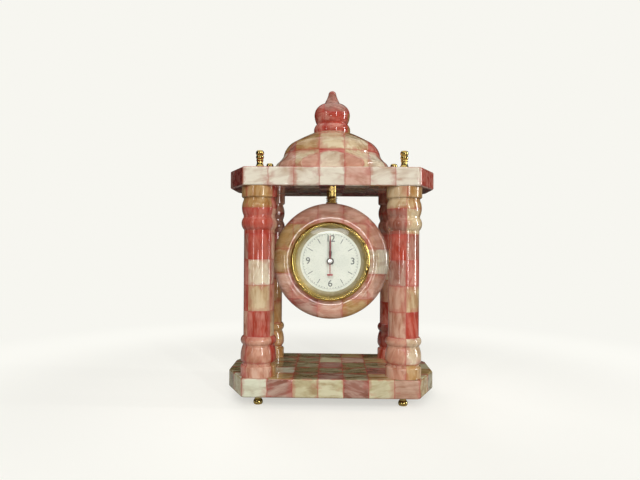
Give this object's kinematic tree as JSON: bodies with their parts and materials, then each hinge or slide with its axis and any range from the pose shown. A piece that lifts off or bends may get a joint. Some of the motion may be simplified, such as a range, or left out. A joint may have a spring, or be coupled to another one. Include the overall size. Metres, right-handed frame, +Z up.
{
  "type": "portico table clock",
  "caption": "Portico table clock: turned mosaic columns carry an ogee-domed roof, and a round drum hung on a brass post holds a push-in quartz insert with domed glass.",
  "frame": {"origin": "on the table, under the middle of the base, at the level of the feet's undersides", "axes": "+Z up along the spire, +X to the viewer's right, the dial faces -Y"},
  "size_m": [0.17, 0.104, 0.2614],
  "materials": {
    "mosaic": "polished",
    "brass": "polished",
    "steel": "satin",
    "glass": "gloss",
    "gilt": "satin",
    "dial_face": "satin",
    "insert_cup": "satin",
    "grip": "matte",
    "black_plastic": "satin",
    "soft_iron": "satin",
    "copper_wire": "satin",
    "cell_steel": "satin",
    "contact_brass": "satin",
    "board": "satin",
    "magnet": "matte",
    "white_plastic": "satin",
    "dark_hand": "satin",
    "red_hand": "satin"
  },
  "bodies": {
    "case": {"base_slab": "mosaic", "roof_slab": "mosaic", "dome": "mosaic", "spire": "mosaic", "drum": "mosaic", "column_front_left": "mosaic", "column_front_right": "mosaic", "column_rear_left": "mosaic", "column_rear_right": "mosaic", "hanger_post": "brass", "drum_socket": "brass", "lock_nut": "brass", "lock_washer": "brass", "finial_nut_front_left": "brass", "finial_nut_front_right": "brass", "finial_nut_rear_left": "brass", "finial_nut_rear_right": "brass", "foot_nut_front_left": "brass", "foot_nut_front_right": "brass", "foot_nut_rear_left": "brass", "foot_nut_rear_right": "brass", "centre_rod": "steel", "tie_rod_front_left": "steel", "tie_rod_front_right": "steel", "tie_rod_rear_left": "steel", "tie_rod_rear_right": "steel"},
    "insert": {"bezel": "brass", "lens": "glass", "reflector_ring": "gilt", "dial": "dial_face", "cup": "insert_cup", "grip_ring": "grip", "back_cover": "black_plastic", "front_plate": "black_plastic", "rear_plate": "black_plastic", "movement_screws": "steel", "stator": "soft_iron", "coil_core": "soft_iron", "coil": "copper_wire", "battery": "cell_steel", "battery_contacts": "contact_brass", "circuit_board": "board", "quartz_crystal": "cell_steel"},
    "second_train": {"second_wheel": "white_plastic", "second_hand": "red_hand"},
    "rotor": {"rotor_pinion": "white_plastic", "rotor_magnet": "magnet"},
    "fifth": {"fifth_wheel": "white_plastic"},
    "third": {"third_wheel": "white_plastic"},
    "centre": {"centre_wheel": "white_plastic"},
    "minute_train": {"cannon_pinion": "white_plastic", "minute_hand": "dark_hand"},
    "setting": {"minute_wheel": "white_plastic", "set_knob": "black_plastic"},
    "hour_train": {"hour_wheel": "white_plastic", "hour_hand": "dark_hand"},
    "battery_lid": {"battery_cover": "black_plastic"}
  },
  "joints": [
    {"name": "insert_pull", "type": "slide", "parent": "case", "child": "insert", "axis": [-0.0523, -0.9986, 0], "range_m": [0, 0.03]},
    {"name": "second_turn", "type": "hinge", "parent": "insert", "child": "second_train", "pos_m": [-0.00079, -0.01498, 0.114], "axis": [0.0523, 0.9986, 0], "continuous": true},
    {"name": "rotor_turn", "type": "hinge", "parent": "insert", "child": "rotor", "pos_m": [0.00623, -0.01535, 0.12617], "axis": [0.0523, 0.9986, 0], "continuous": true},
    {"name": "fifth_turn", "type": "hinge", "parent": "insert", "child": "fifth", "pos_m": [0.00323, -0.01519, 0.12097], "axis": [0.0523, 0.9986, 0], "continuous": true},
    {"name": "third_turn", "type": "hinge", "parent": "insert", "child": "third", "pos_m": [-0.0087, -0.01456, 0.1154], "axis": [0.0523, 0.9986, 0], "continuous": true},
    {"name": "centre_turn", "type": "hinge", "parent": "insert", "child": "centre", "pos_m": [-0.00079, -0.01498, 0.114], "axis": [0.0523, 0.9986, 0], "continuous": true},
    {"name": "minute_turn", "type": "hinge", "parent": "insert", "child": "minute_train", "pos_m": [-0.00079, -0.01498, 0.114], "axis": [0.0523, 0.9986, 0], "continuous": true},
    {"name": "setting_turn", "type": "hinge", "parent": "insert", "child": "setting", "pos_m": [-0.00079, -0.01498, 0.105], "axis": [0.0523, 0.9986, 0], "continuous": true},
    {"name": "hour_turn", "type": "hinge", "parent": "insert", "child": "hour_train", "pos_m": [-0.00079, -0.01498, 0.114], "axis": [0.0523, 0.9986, 0], "continuous": true},
    {"name": "battery_lid_lift", "type": "slide", "parent": "insert", "child": "battery_lid", "axis": [0.0523, 0.9986, 0], "range_m": [0, 0.008]}
  ],
  "couplings": [
    {"joint": "fifth_turn", "follows": "second_turn", "ratio": -6},
    {"joint": "rotor_turn", "follows": "second_turn", "ratio": 30},
    {"joint": "third_turn", "follows": "second_turn", "ratio": -0.13333},
    {"joint": "centre_turn", "follows": "second_turn", "ratio": 0.016667},
    {"joint": "setting_turn", "follows": "minute_turn", "ratio": -0.33333},
    {"joint": "hour_turn", "follows": "minute_turn", "ratio": 0.083333}
  ]
}
